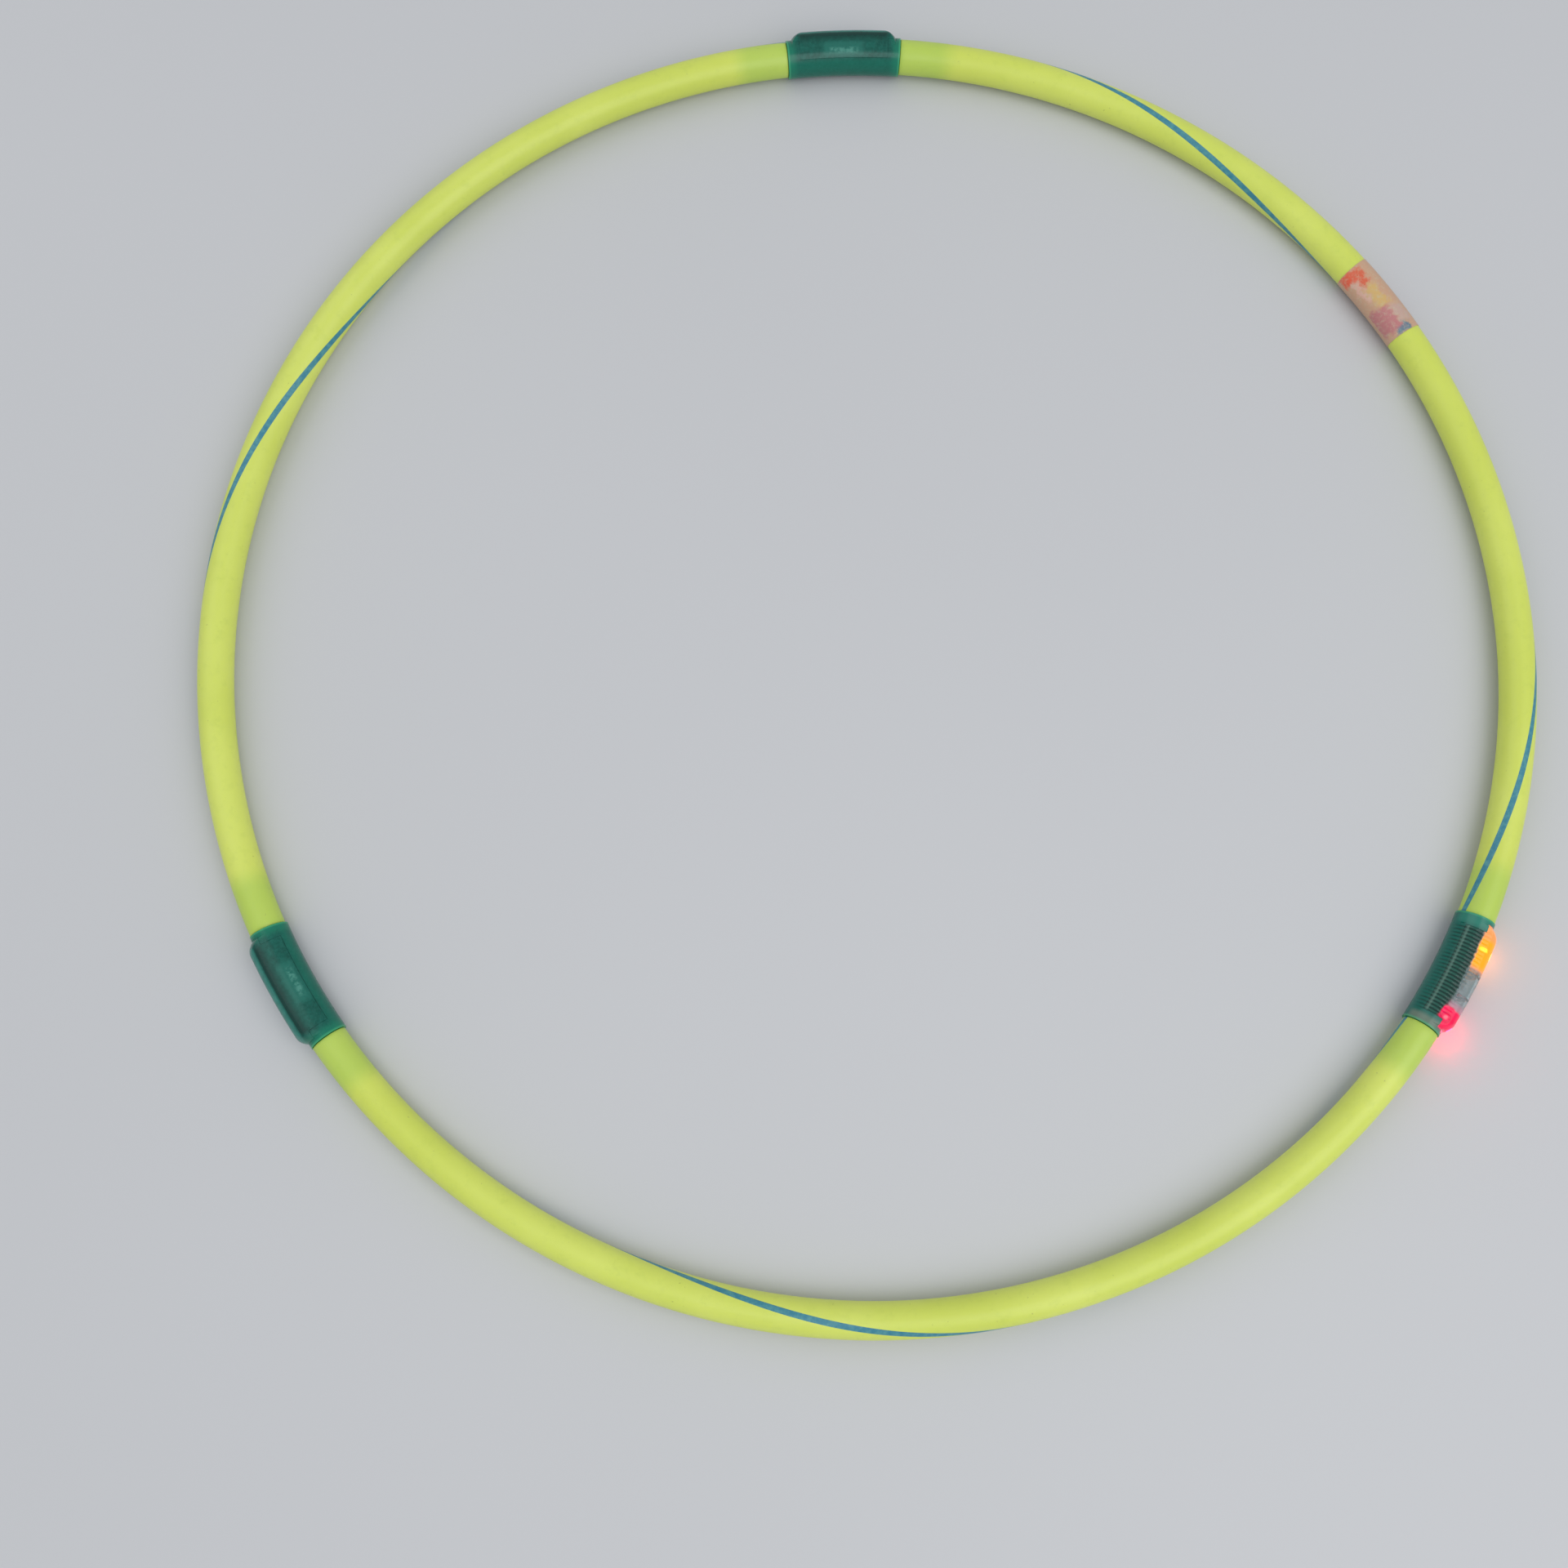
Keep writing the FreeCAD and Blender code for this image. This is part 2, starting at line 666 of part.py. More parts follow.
def make_chip():
    """The blob of resin over the driver chip, on the back of the board."""
    body = new_body("driver_chip")
    sketch = new_sketch(body, "XY_Plane")
    face = radial("[board_back]")
    crown = f"{face} - [chip_height]"
    corners = [(crown, "0"), (face, "0"), (face, "[chip_radius]")]
    points = [Vector(value(across), value(up), 0) for across, up in corners]
    base = sketch.addGeometry(Part.LineSegment(points[0], points[1]))
    side = sketch.addGeometry(Part.LineSegment(points[1], points[2]))
    height = value("[chip_height]")
    reach = value("[chip_radius]")
    radius = (height**2 + reach**2) / (2 * height)
    centre = Vector(points[0].x + radius, 0, 0)
    rim = math.atan2(points[2].y, points[2].x - centre.x)
    circle = Part.Circle(centre, Vector(0, 0, 1), radius)
    dome = sketch.addGeometry(Part.ArcOfCircle(circle, rim, math.pi))
    sketch.addConstraint(Sketcher.Constraint("Coincident", base, 2, side, 1))
    sketch.addConstraint(Sketcher.Constraint("Coincident", side, 2, dome, 1))
    sketch.addConstraint(Sketcher.Constraint("Coincident", dome, 2, base, 1))
    sketch.addConstraint(Sketcher.Constraint("PointOnObject", dome, 3, -1))
    pin_point(sketch, base, 1, *corners[0])
    pin_point(sketch, side, 1, *corners[1])
    pin_point(sketch, side, 2, *corners[2])
    spin(body, sketch, "X_Axis")
    return place_at(body, "[light_angle]", "-[chip_place]")


def make_cell(number):
    """One button cell, lying with its axis along the hoop and its cap towards the leaf contact."""
    body = new_body(f"button_cell_{number}")
    sketch = new_sketch(body, "XY_Plane")
    rim = "[cell_radius]"
    cap = "[cell_cap_radius]"
    step = "[cell_cap_height]"
    centre = radial("-[cell_centre]")
    corners = [
        (centre, "0"),
        (f"{centre} + {cap}", "0"),
        (f"{centre} + {cap}", step),
        (f"{centre} + {rim}", step),
        (f"{centre} + {rim}", "[cell_thick]"),
        (centre, "[cell_thick]"),
    ]
    draw_outline(sketch, corners)
    feature = body.newObject("PartDesign::Revolution", f"{body.Name}_spin")
    feature.Profile = sketch
    feature.ReferenceAxis = (sketch, ["Edge6"])
    feature.Angle = 360
    return place_at(body, "[light_angle]", f"[cell_start] + {number - 1} * [cell_pitch]")


def make_plate_contact():
    """The flat contact at the far end of the cells, with a leg to the board."""
    body = new_body("battery_contact_plus")
    thick = "[contact_thick]"
    sketch = new_sketch(body, "XZ_Plane", f"-([cell_bay_end] - [board_gap] - {thick} / 2)")
    board = radial("[board_back]")
    front = radial("[plate_front]")
    back = radial("-[plate_back]")
    low = [
        (back, "-[plate_half_height]"),
        (front, "-[plate_half_height]"),
        (front, "-[plate_leg_half]"),
        (board, "-[plate_leg_half]"),
    ]
    high = [(across, up.lstrip("-")) for across, up in reversed(low)]
    draw_outline(sketch, low + high)
    extrude(body, sketch, thick)
    return place_at(body, "[light_angle]")


def make_leaf_contact():
    """The folded leaf that presses on the first cell's cap, with its back against the bay's end wall."""
    body = new_body("battery_contact_minus")
    sketch = new_sketch(body, "XY_Plane")
    draw_outline(sketch, [(radial(across), along) for across, along in LEAF_OUTLINE])
    extrude(body, sketch, "[leaf_height]")
    return place_at(body, "[light_angle]")


def make_switch_base():
    """The plug that carries the motion switch's pin and spring."""
    start = (radial("-[switch_centre]"), "-[switch_base_start]", "0")
    length = "[switch_base_length]"
    base = rod("switch_base_rod", "[switch_base_radius]", length, start, Vector(0, 1, 0))
    return gather("motion_switch_base", [base], "[light_angle]")


def make_switch_pin():
    """The fixed pin inside the motion switch's spring."""
    start = (radial("-[switch_centre]"), "-[switch_base_start] + [switch_base_length]", "0")
    length = "[switch_pin_length]"
    pin = rod("switch_pin_rod", "[switch_pin_radius]", length, start, Vector(0, 1, 0))
    return gather("motion_switch_pin", [pin], "[light_angle]")


def make_switch_spring():
    """The motion switch's close-wound spring, as the sleeve that its touching turns form."""
    body = new_body("motion_switch_spring")
    root = "-[switch_base_start] + [switch_base_length] + [spring_lift]"
    sketch = new_sketch(body, "XZ_Plane", f"-({root} + [spring_length] / 2)")
    draw_circle(sketch, radial("-[switch_centre]"), "0", "[spring_radius]")
    draw_circle(sketch, radial("-[switch_centre]"), "0", "[spring_radius] - [spring_wire]")
    extrude(body, sketch, "[spring_length]")
    return place_at(body, "[light_angle]")


def make_switch_leads():
    """The motion switch's two leads, from its base to the board."""
    leads = []
    foot = "-[switch_centre] + [switch_base_radius] + [switch_lead_gap]"
    length = f"[board_back] - [switch_lead_gap] - ({foot})"
    for shift in ("[switch_lead_low]", "[switch_lead_high]"):
        start = (radial(foot), f"-[switch_base_start] + {shift}", "0")
        lead = rod("switch_lead", "[switch_lead_radius]", length, start, Vector(1, 0, 0))
        leads.append(lead)
    return gather("motion_switch_leads", leads, "[light_angle]")


def make_door():
    """The battery door: a piece of the coupler's underside, held by a screw at each end."""
    body = new_body("battery_door")
    outside = new_sketch(body, "XZ_Plane")
    draw_coupler_section(outside, "0")
    revolve(body, outside, "[door_end] + 1")
    inside = new_sketch(body, "XZ_Plane")
    draw_coupler_section(inside, "[door_wall]")
    revolve(body, inside, "[door_end] + 2", cut=True)
    low, high = str(-CLEAR), str(CLEAR)
    cut_box(body, low, high, "-[coupler_half]", "[coupler_half]", "-[door_top]", high)

    frame = new_sketch(body, "XY_Plane")
    draw_box(frame, radial(low), radial(high), "-[coupler_half]", "[coupler_half]")
    draw_box(frame, radial("-[door_back]"), radial("[door_front]"), "-[door_start]", "[door_end]")
    extrude(body, frame, WIDE, cut=True)
    for along in SCREW_PLACES:
        cut_hole(body, "-[cell_centre]", along, "[door_hole_radius]", low, "-[door_top]")
        cut_hole(body, "-[cell_centre]", along, "[counterbore_radius]", low, "-[screw_seat]")
    return place_at(body, "[light_angle]")


def make_recess_tool(across, along, foot):
    """The cross that is cut into a screw's head."""
    slots = []
    sides = ("[recess_length]", "[recess_width]")
    for length, width in (sides, sides[::-1]):
        slot = doc.addObject("Part::Box", "screw_slot")
        slot.setExpression("Length", named(length))
        slot.setExpression("Width", named(width))
        slot.setExpression("Height", named("2 * [recess_depth]"))
        slot.setExpression("Placement.Base.x", named(f"{across} - {length} / 2"))
        slot.setExpression("Placement.Base.y", named(f"{along} - {width} / 2"))
        slot.setExpression("Placement.Base.z", named(f"{foot} - [recess_depth]"))
        slots.append(slot)
    cross = doc.addObject("Part::MultiFuse", "screw_cross")
    cross.Shapes = slots
    return cross


def make_screws():
    """The two small screws that hold the battery door, each with a cross recess."""
    screws = []
    across = radial("-[cell_centre]")
    head_foot = "-[screw_seat] - [screw_head_thick]"
    shank_foot = f"{head_foot} + [screw_head_thick] / 2"
    shank_length = "[screw_length] + [screw_head_thick] / 2"
    up = Vector(0, 0, 1)
    for along in SCREW_PLACES:
        head_place = (across, along, head_foot)
        shank_place = (across, along, shank_foot)
        solid = doc.addObject("Part::MultiFuse", "screw_solid")
        solid.Shapes = [
            rod("screw_head", "[screw_head_radius]", "[screw_head_thick]", head_place, up),
            rod("screw_shank", "[screw_radius]", shank_length, shank_place, up),
        ]
        cut = doc.addObject("Part::Cut", "screw")
        cut.Base = solid
        cut.Tool = make_recess_tool(across, along, head_foot)
        screws.append(cut)
    return gather("door_screws", screws, "[light_angle]")


# ---------------------------------------------------------------- checks and export


def check_document():
    """Stops if any object of the document failed."""
    for item in doc.Objects:
        if "Invalid" in item.State or "Error" in item.State:
            raise RuntimeError(f"{item.Name} failed: {item.State}")


CUTS = ("PartDesign::Pocket", "PartDesign::Groove", "PartDesign::Chamfer")


def check_features(body):
    """Stops if a feature of a body changes its volume the wrong way, or not at all."""
    last = 0.0
    for item in body.Group:
        if not item.isDerivedFrom("PartDesign::Feature"):
            continue
        volume = item.Shape.Volume
        takes_away = item.TypeId in CUTS
        changed = last - volume if takes_away else volume - last
        if changed <= 1e-6:
            raise RuntimeError(f"{body.Label}: {item.Name} leaves {volume:.3f} of {last:.3f} cubic mm")
        last = volume


def main():
    """Builds every sub-part, checks it and writes it out."""
    top, left, light = "[top_angle]", "[left_angle]", "[light_angle]"
    parts = [
        make_tube("tube_left", top, left),
        make_tube("tube_bottom", left, light),
        make_tube("tube_right", f"{light} - 360", top),
        make_label(),
        make_plain_coupler("coupler_body_top", top),
        make_plain_coupler("coupler_body_left", left),
        make_light_coupler(),
        make_plain_cover("coupler_cover_top", top),
        make_plain_cover("coupler_cover_left", left),
        make_lens(),
        make_board(),
        make_lamp("led_amber", 1),
        make_lamp("led_middle", 0),
        make_lamp("led_red", -1),
        make_lamp_leads(),
        make_chip(),
        make_cell(1),
        make_cell(2),
        make_cell(3),
        make_plate_contact(),
        make_leaf_contact(),
        make_switch_base(),
        make_switch_pin(),
        make_switch_spring(),
        make_switch_leads(),
        make_door(),
        make_screws(),
    ]
    doc.recompute()
    check_document()
    os.makedirs("parts", exist_ok=True)
    for part in parts:
        shape = part.Shape
        if shape.isNull() or not shape.isValid():
            raise RuntimeError(f"{part.Label} has no valid shape")
        if part.TypeId == "PartDesign::Body":
            check_features(part)
            if len(shape.Solids) != 1:
                raise RuntimeError(f"{part.Label} is {len(shape.Solids)} solids")
    for part in parts:
        part.Shape.exportStep(f"parts/{part.Label}.step")
        print(f"{part.Label}: {len(part.Shape.Solids)} solids, {part.Shape.Volume:.1f} cubic mm")


main()
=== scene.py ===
"""The light-up sectional hoop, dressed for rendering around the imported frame."""

import json
from math import atan2, ceil, cos, hypot, pi, radians, sin

import bmesh
import bpy
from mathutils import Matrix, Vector


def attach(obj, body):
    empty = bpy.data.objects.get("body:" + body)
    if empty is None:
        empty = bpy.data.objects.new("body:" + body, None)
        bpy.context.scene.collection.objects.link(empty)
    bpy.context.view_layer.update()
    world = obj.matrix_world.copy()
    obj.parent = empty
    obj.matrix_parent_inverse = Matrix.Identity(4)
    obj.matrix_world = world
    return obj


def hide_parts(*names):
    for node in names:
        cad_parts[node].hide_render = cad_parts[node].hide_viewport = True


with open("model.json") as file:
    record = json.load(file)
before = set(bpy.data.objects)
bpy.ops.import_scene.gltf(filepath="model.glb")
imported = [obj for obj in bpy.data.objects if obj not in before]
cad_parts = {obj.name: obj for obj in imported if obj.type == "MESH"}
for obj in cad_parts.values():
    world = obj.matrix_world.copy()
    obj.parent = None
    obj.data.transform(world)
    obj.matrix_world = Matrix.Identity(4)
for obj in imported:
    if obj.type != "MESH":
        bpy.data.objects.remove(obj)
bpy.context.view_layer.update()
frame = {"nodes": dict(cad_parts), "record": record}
NODES = frame["nodes"]

MM = 0.001
HOOP_RADIUS = 297 * MM  # to the tubes' centre line
TUBE_RADIUS = 7.97 * MM  # a hair less than in CAD, so that the skins stay inside the CAD model's box
TUBE_BORE = 6.8 * MM  # its radius
COUPLER_HALF = 27.5 * MM  # half a coupler's length, from tube to tube
BUTT_GAP = 0.2 * MM  # between a tube's end and a coupler
SPIGOT_LENGTH = 27 * MM

# The couplers' section: half round on the inner side of the hoop, and boxy on its outer side.
HALF_HEIGHT = 9.2 * MM
CROWN_SHIFT = 0.4 * MM
OUTER_REACH = 10.6 * MM
CORNER_RADIUS = 6 * MM

# Angles round the hoop, in degrees from +X.
TOP, LEFT, LIGHT = 90.0, 209.8, 327.6
LABEL = 32.5

# Lit lamps' places along the light module, from its middle.
AMBER, RED = 15 * MM, -19 * MM

# The ribs across the light module's top.
RIB_PITCH = 1.75 * MM
RIB_DEPTH = 0.34 * MM
RIB_START, RIB_END = -20 * MM, 22.5 * MM
RIB_STEPS = 4  # mesh lines to a rib
RIB_SHARPNESS = 1.6


def on_hoop(angle, out=0.0, along=0.0, up=0.0):
    """A point out from the tubes' centre line, along the hoop from an angle, and up."""
    turn = radians(angle) + along / HOOP_RADIUS
    reach = HOOP_RADIUS + out
    return Vector((reach * cos(turn), reach * sin(turn), up))


def add_object(name, data):
    """A new object in the scene."""
    made = bpy.data.objects.new(name, data)
    bpy.context.scene.collection.objects.link(made)
    return made


# ---------------------------------------------------------------- shader nodes


def linear(red, green, blue):
    """A linear colour from the 0 to 255 values seen on a screen."""
    def one(value):
        value /= 255
        return value / 12.92 if value <= 0.04045 else ((value + 0.055) / 1.055) ** 2.4

    return (one(red), one(green), one(blue), 1.0)


class Shader:
    """A material with a Principled shader, and short names for the nodes that feed it."""

    def __init__(self, name):
        self.material = bpy.data.materials.new(name)
        self.material.use_nodes = True
        self.tree = self.material.node_tree
        self.principled = self.tree.nodes["Principled BSDF"]
        self.places = None

    def set(self, **values):
        """Sets the shader's sockets, by name with _ for a space, to plain values or to other sockets."""
        for name, value in values.items():
            self.feed(self.principled.inputs[name.replace("_", " ")], value)

    def feed(self, socket, value):
        """Links a socket to another, or gives it a plain value."""
        if isinstance(value, bpy.types.NodeSocket):
            self.tree.links.new(value, socket)
        elif value is not None:
            socket.default_value = value

    def node(self, kind, **settings):
        """Adds a node."""
        made = self.tree.nodes.new(kind)
        for name, value in settings.items():
            setattr(made, name, value)
        return made

    def math(self, operation, *values):
        """A Math node's result."""
        made = self.node("ShaderNodeMath", operation=operation)
        for socket, value in zip(made.inputs, values):
            self.feed(socket, value)
        return made.outputs[0]

    def times(self, *values):
        """The product of several values."""
        product = values[0]
        for value in values[1:]:
            product = self.math("MULTIPLY", product, value)
        return product

    def vary(self, least, spread, share):
        """Goes from least up by spread as share goes from 0 to 1."""
        return self.math("ADD", least, self.times(share, spread))

    def length(self, across, aside):
        """The length of a line that goes so far across and so far aside."""
        return self.math("SQRT", self.math("ADD", self.times(across, across), self.times(aside, aside)))

    def span(self, value, low, high, start=0.0, end=1.0):
        """Goes smoothly from start to end as value goes from low to high."""
        made = self.node("ShaderNodeMapRange", interpolation_type="SMOOTHSTEP")
        for socket, given in zip(made.inputs, (value, low, high, start, end)):
            self.feed(socket, given)
        return made.outputs[0]

    def band(self, value, low, high, soft):
        """1 between low and high, and 0 outside, with soft edges."""
        rise = self.span(value, low - soft, low + soft)
        fall = self.span(value, high - soft, high + soft, 1.0, 0.0)
        return self.times(rise, fall)

    def mix(self, share, first, second):
        """The colour first where share is 0, and the colour second where it is 1."""
        made = self.node("ShaderNodeMix", data_type="RGBA")  # its colours are sockets 6 and 7, and output 2
        self.feed(made.inputs[0], share)
        self.feed(made.inputs[6], first)
        self.feed(made.inputs[7], second)
        return made.outputs[2]

    def noise(self, size, detail=2.0, rough=0.5, stretch=(1, 1, 1)):
        """Noise from 0 to 1 whose grain is about size across."""
        place = self.node("ShaderNodeTexCoord").outputs["Object"]
        if stretch != (1, 1, 1):
            mapping = self.node("ShaderNodeMapping")
            self.feed(mapping.inputs["Vector"], place)
            self.feed(mapping.inputs["Scale"], stretch)
            place = mapping.outputs[0]
        made = self.node("ShaderNodeTexNoise")
        self.feed(made.inputs["Vector"], place)
        self.feed(made.inputs["Scale"], 1 / size)
        self.feed(made.inputs["Detail"], detail)
        self.feed(made.inputs["Roughness"], rough)
        return made.outputs[0]

    def bump(self, height, depth):
        """A normal from a height of 0 to 1 that stands depth proud."""
        made = self.node("ShaderNodeBump")
        self.feed(made.inputs["Strength"], 1.0)
        self.feed(made.inputs["Distance"], depth)
        self.feed(made.inputs["Height"], height)
        return made.outputs[0]

    def xyz(self):
        """x, y and z in the row frame."""
        if self.places is None:
            split = self.node("ShaderNodeSeparateXYZ")
            self.feed(split.inputs[0], self.node("ShaderNodeTexCoord").outputs["Object"])
            self.places = list(split.outputs)
        return self.places

    def outward(self):
        """How far out from the tubes' centre line a point lies."""
        x, y, _ = self.xyz()
        return self.math("SUBTRACT", self.length(x, y), HOOP_RADIUS)

    def along(self, angle):
        """How far along the hoop a point lies from the place at angle."""
        x, y, _ = self.xyz()
        c, s = cos(radians(angle)), sin(radians(angle))
        ahead = self.math("ADD", self.times(x, c), self.times(y, s))
        aside = self.math("SUBTRACT", self.times(y, c), self.times(x, s))
        return self.times(self.math("ARCTAN2", aside, ahead), HOOP_RADIUS)


def repaint(obj, material):
    """Gives every material slot of an object one material."""
    if not obj.material_slots:
        obj.data.materials.append(material)
    for slot in obj.material_slots:
        slot.material = material


# ---------------------------------------------------------------- materials


def from_coupler(shader):
    """How far along the hoop a point lies from the middle of the nearest coupler."""
    nearest = None
    for angle in (TOP, LEFT, LIGHT):
        away = shader.math("ABSOLUTE", shader.along(angle))
        nearest = away if nearest is None else shader.math("MINIMUM", nearest, away)
    return nearest


def spigot_tint(shader):
    """1 where a coupler's spigot lies inside the tube, fading at the spigot's tip."""
    reach = COUPLER_HALF + SPIGOT_LENGTH
    return shader.span(from_coupler(shader), reach - 9 * MM, reach + 3 * MM, 1.0, 0.0)


def lay(shader, colour, rgb, share, *masks):
    """Mixes a colour in where all the masks are 1."""
    for mask in masks:
        share = shader.times(mask, share)
    return shader.mix(share, colour, linear(*rgb))


def scuffed(shader):
    """The roughness and the normal of scuffed satin plastic."""
    scuffs = shader.noise(0.5 * MM, 3, 0.6, (1, 0.25, 1))
    return {"Roughness": shader.vary(0.30, 0.20, scuffs), "Normal": shader.bump(scuffs, 0.015 * MM)}


def tube_plastic():
    """Satin, slightly translucent yellow-green plastic, a little scuffed."""
    s = Shader("tube_plastic")
    plain = s.mix(s.span(s.noise(60 * MM, 3), 0.35, 0.65), linear(209, 222, 95), linear(217, 229, 107))
    cloudy = s.mix(s.span(s.noise(5 * MM, 4, 0.6), 0.5, 0.78, 0.0, 0.22), plain, linear(184, 202, 84))
    green = s.mix(s.times(spigot_tint(s), 0.6), cloudy, linear(168, 203, 86))
    specks = s.span(s.noise(1.6 * MM, 2, 0.4), 0.74, 0.80, 0.0, 0.35)
    s.set(
        Base_Color=s.mix(specks, green, linear(120, 122, 70)),
        Subsurface_Weight=0.35,
        Subsurface_Radius=(1.0, 1.0, 0.35),
        Subsurface_Scale=2.5 * MM,
        **scuffed(s),
    )
    return s.material


def stripe_ink():
    """The stripe's steel-blue plastic."""
    s = Shader("stripe_blue")
    worn = s.span(s.noise(2.5 * MM, 3, 0.6), 0.35, 0.75)
    s.set(
        Base_Color=s.mix(worn, linear(50, 128, 150), linear(84, 152, 156)),
        Subsurface_Weight=0.15,
        Subsurface_Scale=1 * MM,
        **scuffed(s),
    )
    return s.material


def rib_wave(shader):
    """1 in the valleys between the light module's ribs, and 0 on their crests."""
    place = shader.math("SUBTRACT", shader.along(LIGHT), RIB_START)
    wave = shader.math("COSINE", shader.times(place, 2 * pi / RIB_PITCH))
    return shader.span(wave, -0.7, 1.0)


def teal_plastic(name, ribbed=False):
    """Glossy, translucent teal plastic, with the walls behind it showing faintly. Painted into its colour are shade
    in the hollow and between the ribs, highlights on the crest, on the top and round the ends, and a reflection at
    the red lamp's end.
    """
    s = Shader(name)
    away, out = from_coupler(s), s.outward()
    above = s.span(s.xyz()[2], 1 * MM, 5 * MM)
    cloud = s.span(s.noise(5 * MM, 4, 0.65), 0.2, 0.8)
    speck = s.span(s.noise(1.4 * MM, 2, 0.6), 0.3, 0.7)
    scratches = s.noise(0.35 * MM, 2, 0.6, (1, 0.2, 1))
    colour = s.mix(cloud, linear(0, 84, 73), linear(2, 106, 91))
    colour = lay(s, colour, (60, 160, 142), 0.18, speck)
    if ribbed:
        along = s.along(LIGHT)
        patchy = s.span(s.noise(5 * MM, 3, 0.6), 0.3, 0.65, 0.35, 1.0)
        ribs = s.times(above, s.band(along, -22 * MM, 21 * MM, 1 * MM), patchy, rib_wave(s))
        under_lens, inner_side = s.span(out, -7.5 * MM, -4.5 * MM), s.span(out, -5.5 * MM, -7.5 * MM)
        amber_end, red_end_reflection = s.span(along, 21 * MM, 24 * MM), s.span(along, -22.5 * MM, -25 * MM)
        colour = lay(s, colour, (70, 140, 126), 0.5, above, under_lens)
        colour = lay(s, colour, (6, 122, 108), 0.7, inner_side)
        # Painted shade darkens the valleys between the ribs; the same mask also sinks them in the bump below.
        colour = lay(s, colour, (0, 56, 52), 0.7, ribs)
        colour = lay(s, colour, (60, 160, 138), 0.6, above, amber_end)
        # Painted reflection: a pale beige-grey glare on the top at the red lamp's end.
        colour = lay(s, colour, (150, 158, 140), 0.6, above, red_end_reflection)
        height = s.math("SUBTRACT", scratches, s.times(ribs, 8.0))
    else:
        shaded_hollow = s.span(away, 20 * MM, 23 * MM, 1.0, 0.0)
        far_wall, short_of_crest = s.span(out, 1 * MM, 5.8 * MM), s.span(out, 7.2 * MM, 6.6 * MM)
        crest_highlight, crest_highlight_share = s.span(out, 6.8 * MM, 8.2 * MM), s.span(cloud, 0.0, 1.0, 0.5, 0.85)
        patch, patch_width = s.span(away, 8 * MM, 11.5 * MM, 1.0, 0.0), s.band(out, -5.0 * MM, 1.6 * MM, 1.2 * MM)
        highlight_streak, highlight_streak_width = s.span(away, 5.5 * MM, 8 * MM, 1.0, 0.0), s.band(out, -3.8 * MM, -1.4 * MM, 0.7 * MM)
        broken = s.span(s.noise(2.2 * MM, 3, 0.6), 0.35, 0.6)
        inner_side, end_wall = s.span(out, -5.0 * MM, -7.0 * MM), s.span(away, 22 * MM, 26 * MM)
        # Painted shade: the hollow inside the cover is darkened where it shows through the top.
        colour = lay(s, colour, (0, 58, 51), 0.85, above, shaded_hollow, far_wall, short_of_crest)
        # Painted highlight along the outer crest, over the thick outer wall showing through.
        colour = lay(s, colour, (78, 168, 154), 0.8, crest_highlight, crest_highlight_share)
        colour = lay(s, colour, (46, 134, 118), 0.6, above, patch, patch_width)
        # Painted highlight: a broken bright streak along the middle of the top.
        colour = lay(s, colour, (112, 190, 172), 0.5, above, highlight_streak, broken, highlight_streak_width)
        colour = lay(s, colour, (10, 128, 106), 0.6, inner_side)
        colour = lay(s, colour, (26, 150, 116), 0.6, end_wall)
        height = scratches
    # Painted highlight: a bright rim round both ends of every coupler.
    colour = lay(s, colour, (84, 200, 140), 0.6, s.span(away, 26.3 * MM, 27.3 * MM))
    s.set(
        Base_Color=colour,
        Roughness=s.vary(0.16, 0.12, scratches),
        IOR=1.45,
        Specular_IOR_Level=0.4,
        Transmission_Weight=0.28,
        Normal=s.bump(height, 0.004 * MM),
    )
    return s.material


